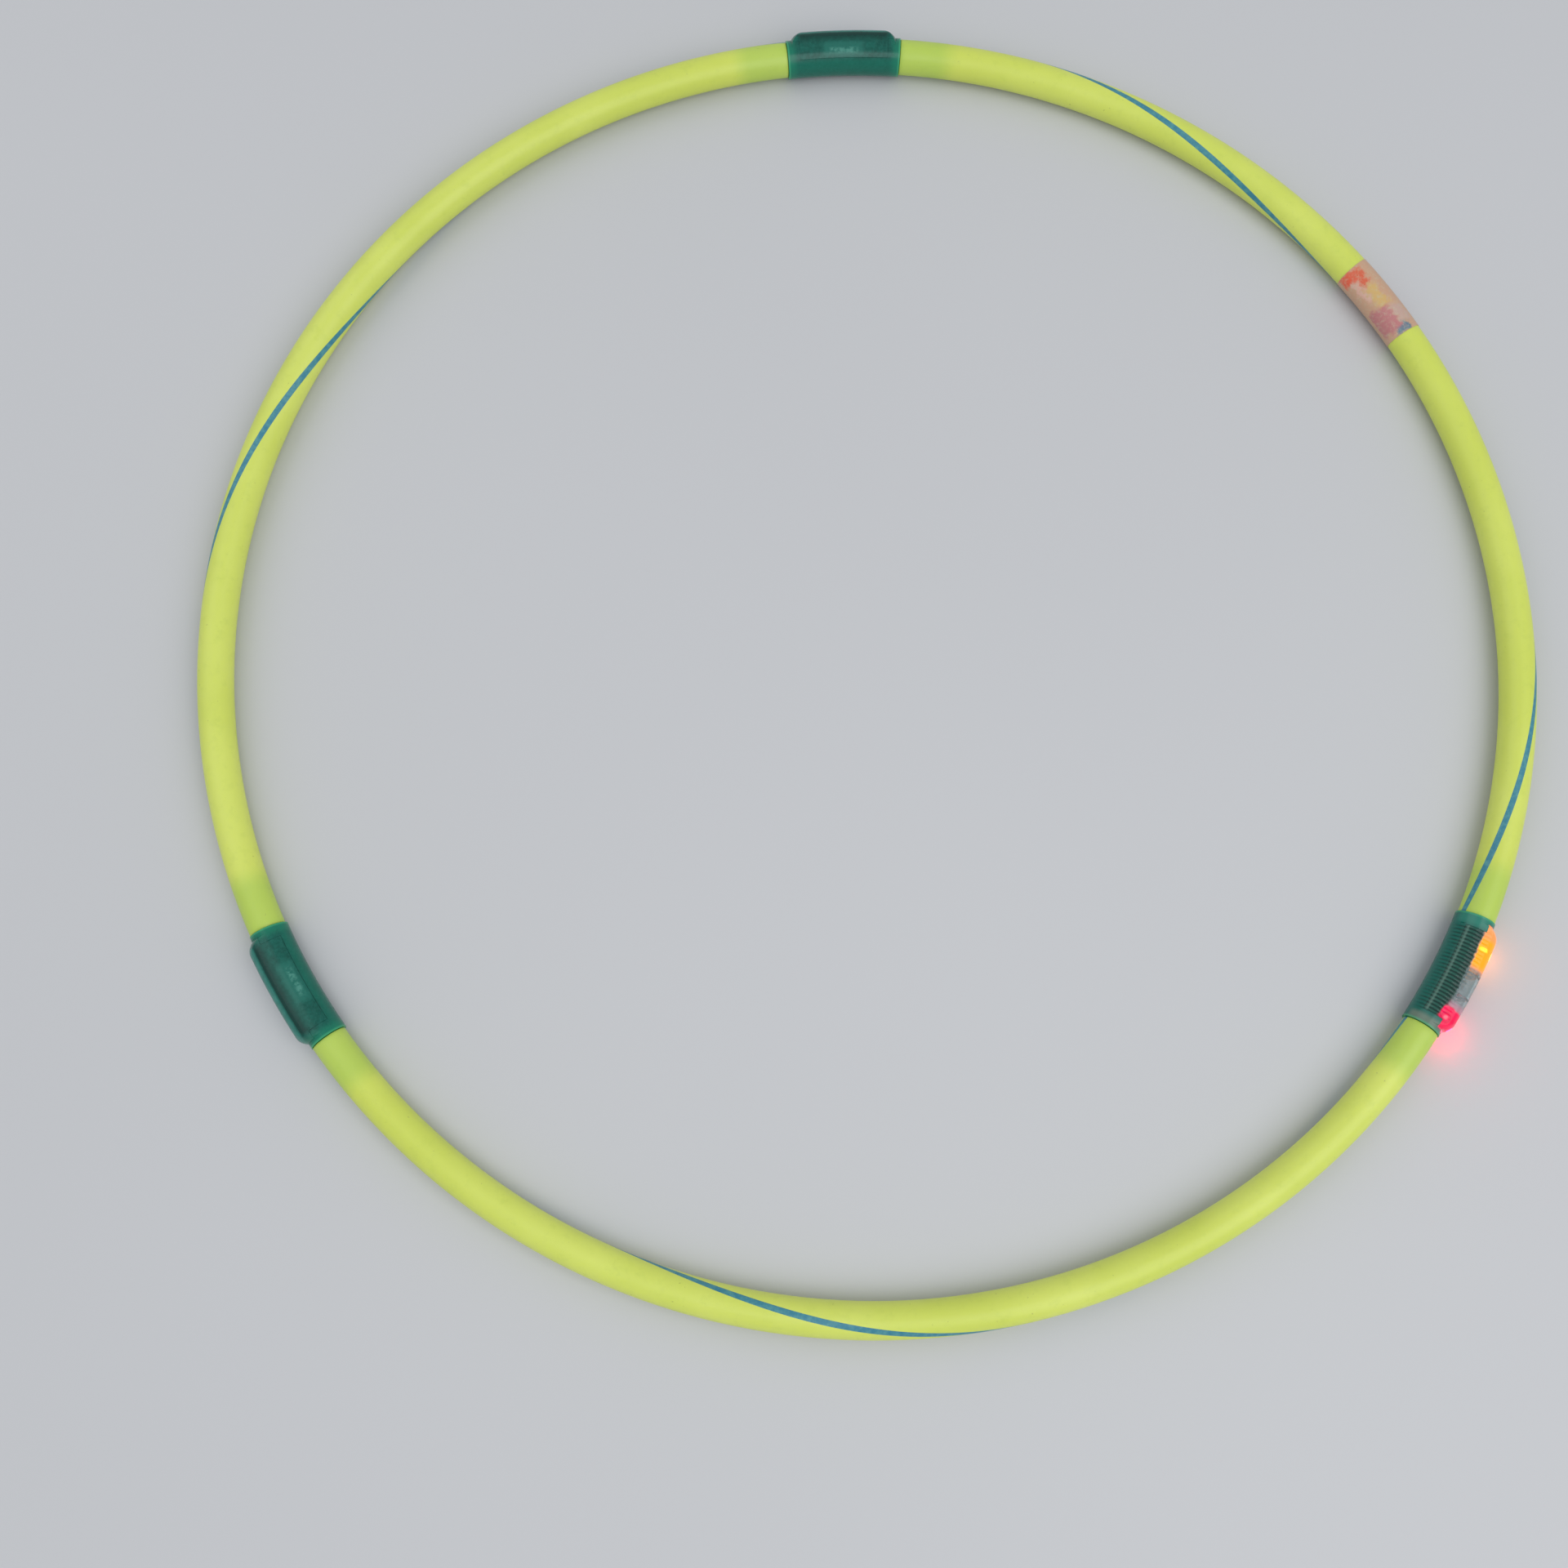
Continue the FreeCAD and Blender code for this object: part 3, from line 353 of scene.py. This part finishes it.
def clear_plastic():
    """The lens: clear ribbed plastic, whose two outer chambers are filled with the lamps' light."""
    s = Shader("clear_plastic")
    along, out = s.along(LIGHT), s.outward()
    amber_place, red_place = AMBER - 1.2 * MM, RED - 1.5 * MM
    above = s.span(s.xyz()[2], 1 * MM, 5 * MM)
    haze = s.noise(2.5 * MM, 3)
    ragged = s.times(s.math("SUBTRACT", s.noise(2.2 * MM, 2, 0.5), 0.5), 2.4 * MM)
    edge = s.math("ADD", out, ragged)
    chamber = s.span(edge, 1.6 * MM, 3.2 * MM)
    covered = s.math("SUBTRACT", 1.0, chamber)
    skin = s.mix(haze, linear(44, 112, 98), linear(70, 128, 112))
    skin = lay(s, skin, (34, 66, 58), 0.6, above, s.span(out, -2.5 * MM, 1.5 * MM))
    # Painted shade in the valleys between the ribs.
    skin = lay(s, skin, (10, 54, 48), 0.75, above, rib_wave(s))
    # Painted highlight along the lens skin's long edge.
    skin = lay(s, skin, (140, 182, 166), 0.5, above, s.band(out, -4.8 * MM, -4.0 * MM, 0.4 * MM))
    colour = s.mix(chamber, skin, linear(202, 220, 222))

    # The amber lamp fills its chamber, with a brighter heart and a spark at the lamp's tip.
    amber = s.times(s.band(along, amber_place - 9.5 * MM, amber_place + 12 * MM, 1.5 * MM), chamber)
    heart = s.times(s.band(along, amber_place - 8 * MM, amber_place + 5 * MM, 1.5 * MM), chamber)
    spark_along = s.band(along, amber_place - 0.3 * MM, amber_place + 1.1 * MM, 0.6 * MM)
    spark = s.times(spark_along, s.band(edge, 3.5 * MM, 6.5 * MM, 1 * MM), above)

    # The red lamp makes a round spot with a darker ring and a pink middle, in a red haze.
    across = s.math("SUBTRACT", along, red_place + 0.3 * MM)
    aside = s.math("MINIMUM", s.math("SUBTRACT", out, 3.9 * MM), 2.6 * MM)
    away = s.length(across, aside)
    ragged_away = s.math("ADD", away, s.times(ragged, 0.5))
    red = s.times(s.span(ragged_away, 4.6 * MM, 6.4 * MM, 1.0, 0.0), s.span(edge, -0.2 * MM, 1.4 * MM))
    haze_along = s.band(along, red_place - 7 * MM, red_place + 8.5 * MM, 2 * MM)
    haze_red = s.times(haze_along, s.span(edge, 0.5 * MM, 2.5 * MM))
    ring = s.band(away, 1.6 * MM, 2.6 * MM, 0.5 * MM)
    pink = s.span(away, 0.4 * MM, 1.5 * MM, 1.0, 0.0)

    light = s.mix(amber, linear(0, 0, 0), linear(236, 150, 84))
    light = s.mix(heart, light, linear(246, 160, 20))
    light = s.mix(s.times(spark, 0.8), light, linear(255, 236, 60))
    light = s.mix(s.times(haze_red, 0.6), light, linear(226, 116, 146))
    light = s.mix(red, light, linear(226, 10, 76))
    light = s.mix(s.times(ring, 0.6), light, linear(178, 0, 60))
    light = s.mix(s.times(pink, 0.8), light, linear(250, 110, 120))
    lit = s.math("MAXIMUM", s.math("MAXIMUM", amber, red), s.times(haze_red, 0.5))
    strongest = s.math("MAXIMUM", s.times(spark, 0.7), s.times(pink, 0.3))
    unlit_clearness = s.math("SUBTRACT", 0.9, s.times(covered, 0.45))
    s.set(
        Base_Color=s.mix(lit, colour, light),
        Roughness=s.vary(0.08, 0.12, haze),
        IOR=1.38,
        Transmission_Weight=s.math("SUBTRACT", unlit_clearness, s.times(lit, 0.7)),
        Emission_Color=light,
        Emission_Strength=s.vary(strongest, 0.42, lit),
    )
    return s.material


def label_film():
    """A worn printed label of soft colour patches, with painted shade on the side facing the hoop's middle."""
    s = Shader("label_film")
    wander = s.math("SUBTRACT", s.noise(2.5 * MM, 3), 0.5)
    along = s.vary(s.along(LABEL), 5 * MM, wander)
    round_it = s.vary(s.math("ARCTAN2", s.xyz()[2], s.outward()), radians(60), wander)
    colour = linear(201, 160, 130)
    # Along the tube in mm, round it in degrees from its outer side up and over, and the colour.
    patches = [
        ((-20, -15), (80, 130), (92, 124, 142)),
        ((-17, -3), (100, 185), (190, 122, 122)),
        ((-15, -6), (60, 100), (196, 164, 150)),
        ((-4, 9), (90, 130), (208, 172, 108)),
        ((9, 19), (95, 135), (214, 98, 66)),
        ((14, 20), (125, 185), (226, 96, 66)),
        ((2, 14), (135, 150), (222, 176, 160)),
        # This grey patch, on the side facing the hoop's middle, is painted shade rather than print.
        ((-20, 20), (200, 280), (150, 150, 150)),
        ((-16, 2), (-50, 12), (190, 146, 126)),
        ((5, 17), (-40, 30), (208, 168, 122)),
    ]
    for (start, end), (low, high), rgb in patches:
        across = s.band(along, start * MM, end * MM, 1.5 * MM)
        around = s.band(round_it, radians(low), radians(high), radians(12))
        colour = s.mix(s.times(across, around), colour, linear(*rgb))
    wear = s.span(s.noise(1.6 * MM, 4, 0.7), 0.45, 0.75, 0.0, 0.5)
    s.set(
        Base_Color=s.mix(wear, colour, linear(196, 190, 160)),
        Roughness=s.vary(0.35, 0.5, wear),
        Normal=s.bump(wear, 0.03 * MM),
    )
    return s.material


def board_green():
    """Green solder mask over tinned tracks."""
    s = Shader("board_green")
    z = s.xyz()[2]

    def waves(place, pitch, low, high):
        """1 on the crests of even waves."""
        return s.span(s.math("SINE", s.times(place, 2 * pi / pitch)), low, high)

    tracks = s.times(waves(z, 2.2 * MM, 0.55, 0.75), s.span(s.noise(6 * MM, 0), 0.45, 0.5))
    middle = s.span(s.math("ABSOLUTE", z), 0.9 * MM, 1.1 * MM, 1.0, 0.0)
    pads = s.times(middle, waves(s.along(LIGHT), 2.54 * MM, 0.2, 0.4))
    colour = s.mix(tracks, linear(14, 84, 46), linear(38, 122, 70))
    s.set(
        Base_Color=s.mix(pads, colour, linear(186, 186, 180)),
        Metallic=s.times(pads, 0.9),
        Roughness=s.vary(0.28, 0.2, s.noise(0.6 * MM)),
        Normal=s.bump(tracks, 0.03 * MM),
    )
    return s.material


def lit_lamp(name, colour, core, strength):
    """A lit lamp's dome, brightest at its tip."""
    s = Shader(name)
    tip = s.span(s.outward(), 4 * MM, 8 * MM)
    s.set(
        Base_Color=linear(*colour),
        Roughness=0.12,
        Emission_Color=s.mix(tip, linear(*colour), linear(*core)),
        Emission_Strength=s.span(s.outward(), 3 * MM, 8 * MM, strength * 0.35, strength),
    )
    return s.material


def unlit_lamp():
    """An unlit lamp's water-clear dome."""
    s = Shader("led_unlit")
    s.set(
        Base_Color=s.mix(s.noise(1 * MM), linear(214, 222, 226), linear(236, 240, 242)),
        Roughness=0.08,
        IOR=1.5,
        Transmission_Weight=0.7,
    )
    return s.material


def metal(name, rgb, rough, grain, stretch=(1, 1, 1)):
    """Bare metal with a fine grain."""
    s = Shader(name)
    marks = s.noise(grain, 3, 0.6, stretch)
    dark = tuple(value * 0.8 for value in rgb)
    s.set(
        Base_Color=s.mix(marks, linear(*dark), linear(*rgb)),
        Metallic=1.0,
        Roughness=s.vary(rough, 0.15, marks),
        Normal=s.bump(marks, 0.004 * MM),
    )
    return s.material


def black_resin():
    """Satin black resin."""
    s = Shader("black_resin")
    grain = s.noise(0.3 * MM, 3)
    s.set(
        Base_Color=s.mix(grain, linear(20, 20, 21), linear(34, 34, 36)),
        Roughness=s.vary(0.35, 0.2, grain),
        Normal=s.bump(grain, 0.01 * MM),
    )
    return s.material


# ---------------------------------------------------------------- tubes


STRIPE_HALF = radians(9.5)  # half the stripe's width, round the tube
STRIPE_SWING = radians(8.6)  # the stripe's winding is a little tighter on the upper side
STRIPE_FACE = radians(113.5)  # where the stripe is round the tube at its anchor
STRIPE_FACES = 4  # across the stripe
PLAIN_FACES = 44  # round the rest of the tube
RING_STEP, BORE_STEP = 0.7, 3  # from ring to ring, in degrees of the hoop
ROUNDED_END = [(0.0, 0.3), (0.05, 0.15), (0.15, 0.05), (0.3, 0.0)]  # along, and in from the outside, in mm
TUBE_SHARP = radians(50)


def stripe_place(angle, anchor, pitch):
    """Where the stripe is round the tube, from its outer side up and over, at an angle of the hoop."""
    even = radians(-360 / pitch * (angle - anchor))
    return STRIPE_FACE + even + STRIPE_SWING * sin(even)


def make_tube(node, start, end, anchor, pitch):
    """A bent tube whose faces follow the stripe that winds round it, once in pitch degrees of the hoop."""
    cover = (COUPLER_HALF + BUTT_GAP) / HOOP_RADIUS * 180 / pi
    start, end = start + cover, end - cover
    steps = ceil((end - start) / RING_STEP)
    degree = HOOP_RADIUS * pi / 180
    stations = [(start + along * MM / degree, TUBE_RADIUS - inset * MM) for along, inset in ROUNDED_END]
    stations += [(start + (end - start) * step / steps, TUBE_RADIUS) for step in range(1, steps)]
    stations += [(end - along * MM / degree, TUBE_RADIUS - inset * MM) for along, inset in reversed(ROUNDED_END)]
    inner_steps = ceil((end - start) / BORE_STEP)
    stations += [(end + (start - end) * step / inner_steps, TUBE_BORE) for step in range(inner_steps + 1)]

    turns = [STRIPE_HALF * (2 * step / STRIPE_FACES - 1) for step in range(STRIPE_FACES + 1)]
    plain = (2 * pi - 2 * STRIPE_HALF) / PLAIN_FACES
    turns += [STRIPE_HALF + plain * step for step in range(1, PLAIN_FACES)]

    mesh = bpy.data.meshes.new(node + "_skin")
    build = bmesh.new()
    rings = []
    for angle, radius in stations:
        middle = stripe_place(angle, anchor, pitch)
        rings.append([
            build.verts.new(on_hoop(angle, radius * cos(middle + turn), 0, radius * sin(middle + turn)))
            for turn in turns
        ])
    count = len(turns)
    outer_end = steps - 1 + 2 * len(ROUNDED_END)
    for number, (ring, following) in enumerate(zip(rings, rings[1:] + rings[:1])):
        for place in range(count):
            after = (place + 1) % count
            face = build.faces.new((ring[place], following[place], following[after], ring[after]))
            face.material_index = int(place < STRIPE_FACES and number < outer_end)
            face.smooth = True
    bmesh.ops.recalc_face_normals(build, faces=build.faces)
    build.to_mesh(mesh)
    build.free()
    mesh.set_sharp_from_angle(angle=TUBE_SHARP)
    tube = add_object(node + "_skin", mesh)
    mesh.materials.append(MATERIALS["tube_plastic"])
    mesh.materials.append(MATERIALS["stripe_blue"])
    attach(tube, "hoop")
    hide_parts(node)


# ---------------------------------------------------------------- the light module's ribs


TOP_START = 0.9 * MM  # the ribs lie above this height
SURFACE_DEPTH = 0.06 * MM  # what lies deeper is not on the outside
HAIR = 0.01 * MM
RIB_SHARP = radians(38)


def coupler_surface(out, up):
    """How deep a point is below the coupler's outside in its section, and the direction out of it there."""
    corner = OUTER_REACH - CORNER_RADIUS
    level = HALF_HEIGHT - CORNER_RADIUS
    sign = 1 if up >= 0 else -1
    if out <= CROWN_SHIFT:
        reach = hypot(out - CROWN_SHIFT, up)
        return HALF_HEIGHT - reach, ((out - CROWN_SHIFT) / reach, up / reach)
    if out <= corner:
        return HALF_HEIGHT - abs(up), (0.0, sign)
    if abs(up) <= level:
        return OUTER_REACH - out, (1.0, 0.0)
    across, height = out - corner, abs(up) - level
    reach = hypot(across, height)
    return CORNER_RADIUS - reach, (across / reach, sign * height / reach)


def hoop_place(point, angle):
    """How far out from the tubes' centre line a point lies, and how far along the hoop from an angle."""
    turn = (atan2(point.y, point.x) - radians(angle) + pi) % (2 * pi) - pi
    return hypot(point.x, point.y) - HOOP_RADIUS, turn * HOOP_RADIUS


def on_top(vert):
    """Whether a vertex lies on the light module's outside, on its upper side."""
    out, _ = hoop_place(vert.co, LIGHT)
    return vert.co.z > TOP_START and coupler_surface(out, vert.co.z)[0] < SURFACE_DEPTH


def cut_across(build, places):
    """Divides the light module's top across the hoop at several places along it."""
    for along in places:
        turn = radians(LIGHT) + along / HOOP_RADIUS
        faces = [face for face in build.faces if all(map(on_top, face.verts))]
        edges = {edge for face in faces for edge in face.edges}
        verts = {vert for face in faces for vert in face.verts}
        bmesh.ops.bisect_plane(
            build,
            geom=list(verts) + list(edges) + faces,
            dist=HAIR / 10,
            plane_co=(0, 0, 0),
            plane_no=(-sin(turn), cos(turn), 0),
        )


def move_out(vert, step):
    """Moves a vertex straight out from the hoop's axis."""
    reach = hypot(vert.co.x, vert.co.y)
    vert.co.x += step * vert.co.x / reach
    vert.co.y += step * vert.co.y / reach


def clamp(share):
    """A share held between 0 and 1."""
    return min(1, max(0, share))


def lens_rib_depth(out):
    """How deep the lens's valleys are: none at its long edge, and fading on its outer wall."""
    return RIB_DEPTH * clamp((out + 5.3 * MM) / MM) * clamp((6 * MM - out) / (2.5 * MM))


def body_rib_depth(out):
    """How deep the body's valleys are: none at the lens's edge, and fading on the inner side of the hoop."""
    return RIB_DEPTH * clamp((-5.8 * MM - out) / (0.5 * MM)) * clamp((out + 8.3 * MM) / (1.2 * MM))


def sink_ribs(build, depth_at):
    """Sinks fine valleys across the light module's top."""
    ribs = int((RIB_END - RIB_START) / RIB_PITCH)
    last = RIB_START + ribs * RIB_PITCH
    cut_across(build, [RIB_START + line * RIB_PITCH / RIB_STEPS for line in range(RIB_STEPS * ribs + 1)])
    for vert in filter(on_top, build.verts):
        out, along = hoop_place(vert.co, LIGHT)
        if RIB_START - HAIR <= along <= last + HAIR:
            _, (across, height) = coupler_surface(out, vert.co.z)
            valley = 0.5 + 0.5 * cos(2 * pi * (along - RIB_START) / RIB_PITCH)
            sink = depth_at(out) * valley ** RIB_SHARPNESS
            move_out(vert, -across * sink)
            vert.co.z -= height * sink


def make_ribbed(node, depth_at, material):
    """A finer copy of one of the light module's CAD nodes, with its ribs."""
    mesh = NODES[node].data.copy()
    mesh.name = node + "_detail"
    build = bmesh.new()
    build.from_mesh(mesh)
    bmesh.ops.remove_doubles(build, verts=build.verts, dist=HAIR / 5)
    sink_ribs(build, depth_at)
    for face in build.faces:
        face.smooth = True
    build.to_mesh(mesh)
    build.free()
    if "custom_normal" in mesh.attributes:
        mesh.attributes.remove(mesh.attributes["custom_normal"])
    mesh.set_sharp_from_angle(angle=RIB_SHARP)
    piece = add_object(node + "_detail", mesh)
    repaint(piece, MATERIALS[material])
    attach(piece, "hoop")
    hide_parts(node)


# ---------------------------------------------------------------- the motion switch's spring


SPRING_AXIS = -1.5 * MM  # out from the tubes' centre line
SPRING_START = -20.2 * MM
SPRING_LENGTH = 7.5 * MM
SPRING_RADIUS = 1.45 * MM  # to the middle of its wire
WIRE_RADIUS = 0.15 * MM
SPRING_PITCH = 0.36 * MM
STEPS_PER_TURN, WIRE_SIDES = 20, 8


def make_spring():
    """The close-wound coil round the switch's pin."""
    turns = (SPRING_LENGTH - 2 * WIRE_RADIUS) / SPRING_PITCH
    angle = radians(LIGHT)
    outward = Vector((cos(angle), sin(angle), 0))
    forward = Vector((-sin(angle), cos(angle), 0))
    upward = Vector((0, 0, 1))
    start = outward * (HOOP_RADIUS + SPRING_AXIS) + forward * (SPRING_START + WIRE_RADIUS)
    build = bmesh.new()
    rings = []
    for step in range(int(turns * STEPS_PER_TURN) + 1):
        turn = 2 * pi * step / STEPS_PER_TURN
        away = outward * cos(turn) + upward * sin(turn)
        middle = start + forward * (SPRING_PITCH * step / STEPS_PER_TURN) + away * SPRING_RADIUS
        rings.append([
            build.verts.new(middle + WIRE_RADIUS * (away * cos(side) + forward * sin(side)))
            for side in (2 * pi * number / WIRE_SIDES for number in range(WIRE_SIDES))
        ])
    for ring, following in zip(rings, rings[1:]):
        for place in range(WIRE_SIDES):
            after = (place + 1) % WIRE_SIDES
            face = build.faces.new((ring[place], ring[after], following[after], following[place]))
            face.smooth = True
    build.faces.new(rings[0])
    build.faces.new(rings[-1])
    bmesh.ops.recalc_face_normals(build, faces=build.faces)
    mesh = bpy.data.meshes.new("motion_switch_coil")
    build.to_mesh(mesh)
    build.free()
    spring = add_object("motion_switch_coil", mesh)
    repaint(spring, MATERIALS["spring_steel"])
    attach(spring, "spring")
    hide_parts("motion_switch_spring")


# ---------------------------------------------------------------- building it


MATERIALS = {
    "tube_plastic": tube_plastic(),
    "stripe_blue": stripe_ink(),
    "teal_plastic": teal_plastic("teal_plastic"),
    "teal_ribbed": teal_plastic("teal_ribbed", ribbed=True),
    "clear_plastic": clear_plastic(),
    "label_film": label_film(),
    "board_green": board_green(),
    "led_amber_lit": lit_lamp("led_amber_lit", (255, 150, 20), (255, 240, 90), 1.5),
    "led_red_lit": lit_lamp("led_red_lit", (255, 10, 70), (255, 150, 160), 1.5),
    "led_unlit": unlit_lamp(),
    "tinned_wire": metal("tinned_wire", (200, 200, 198), 0.25, 0.2 * MM),
    "spring_steel": metal("spring_steel", (206, 186, 140), 0.22, 0.2 * MM),
    "black_resin": black_resin(),
    "cell_steel": metal("cell_steel", (205, 205, 202), 0.18, 0.3 * MM, (1, 1, 0.1)),
    "contact_nickel": metal("contact_nickel", (206, 200, 188), 0.24, 0.25 * MM),
    "screw_steel": metal("screw_steel", (176, 176, 180), 0.28, 0.15 * MM),
}

for subpart in frame["record"]["subparts"]:
    repaint(NODES[subpart["node"]], MATERIALS[subpart["material_slot"]])

# Each tube's ends, the angle where its stripe lies at STRIPE_FACE, and how much of the hoop one turn takes.
make_tube("tube_left", TOP, LEFT, 156.1, 74.0)
make_tube("tube_bottom", LEFT, LIGHT, 259.4, 73.5)
make_tube("tube_right", LIGHT - 360, TOP, -18.9, 75.0)

make_ribbed("light_lens", lens_rib_depth, "clear_plastic")
make_ribbed("coupler_body_light", body_rib_depth, "teal_ribbed")
make_spring()

# ---------------------------------------------------------------- floor, light and camera

FLOOR_HALF = 3.0

floor_mesh = bpy.data.meshes.new("floor")
corners = [(-FLOOR_HALF, -FLOOR_HALF), (FLOOR_HALF, -FLOOR_HALF), (FLOOR_HALF, FLOOR_HALF), (-FLOOR_HALF, FLOOR_HALF)]
floor_mesh.from_pydata([(x, y, -HALF_HEIGHT) for x, y in corners], [], [(0, 1, 2, 3)])
floor = add_object("floor", floor_mesh)
paper = Shader("floor_paper")
paper.set(
    Base_Color=paper.mix(paper.noise(0.6, 2), linear(196, 197, 199), linear(202, 203, 205)),
    Roughness=0.7,
)
repaint(floor, paper.material)


def add_light(name, kind, place, energy, size, colour=(1, 1, 1), aim=None):
    """A light of so many watts, turned towards aim if one is given."""
    data = bpy.data.lights.new(name, kind)
    data.energy = energy
    data.color = colour
    if kind == "AREA":
        data.size = size
    else:
        data.shadow_soft_size = size
    light = add_object(name, data)
    light.location = place
    if aim is not None:
        light.rotation_euler = (Vector(aim) - Vector(place)).to_track_quat("-Z", "Y").to_euler()
    return light


add_light("key", "AREA", (0.9, -0.9, 1.9), 26, 2.2, aim=(0, 0, 0))
add_light("fill", "AREA", (-1.2, 0.7, 1.6), 8, 2.0, aim=(0, 0, 0))

# What the lit lamps throw on the floor.
amber_light, red_light = on_hoop(LIGHT, 13 * MM, AMBER, -1 * MM), on_hoop(LIGHT, 12.5 * MM, RED - 3 * MM, -1 * MM)
for spill in (
    add_light("amber_spill", "POINT", amber_light, 0.0025, 2 * MM, linear(255, 150, 40)[:3]),
    add_light("red_spill", "POINT", red_light, 0.0060, 2 * MM, linear(255, 20, 60)[:3]),
):
    spill.visible_camera = False

world = bpy.data.worlds.new("studio")
bpy.context.scene.world = world
world.use_nodes = True
background = world.node_tree.nodes["Background"].inputs
background["Color"].default_value = (0.92, 0.95, 1.0, 1)
background["Strength"].default_value = 0.55
bpy.context.scene.view_settings.view_transform = "Standard"

camera_data = bpy.data.cameras.new("camera")
camera_data.lens = 36
camera_data.sensor_width = 36
camera_data.clip_start = 0.01
camera = add_object("camera", camera_data)
camera.location = (-51.8 * MM, -189.1 * MM, 693.8 * MM)
camera.rotation_euler = (radians(10.19), radians(-0.555), radians(-1.9))
bpy.context.scene.camera = camera
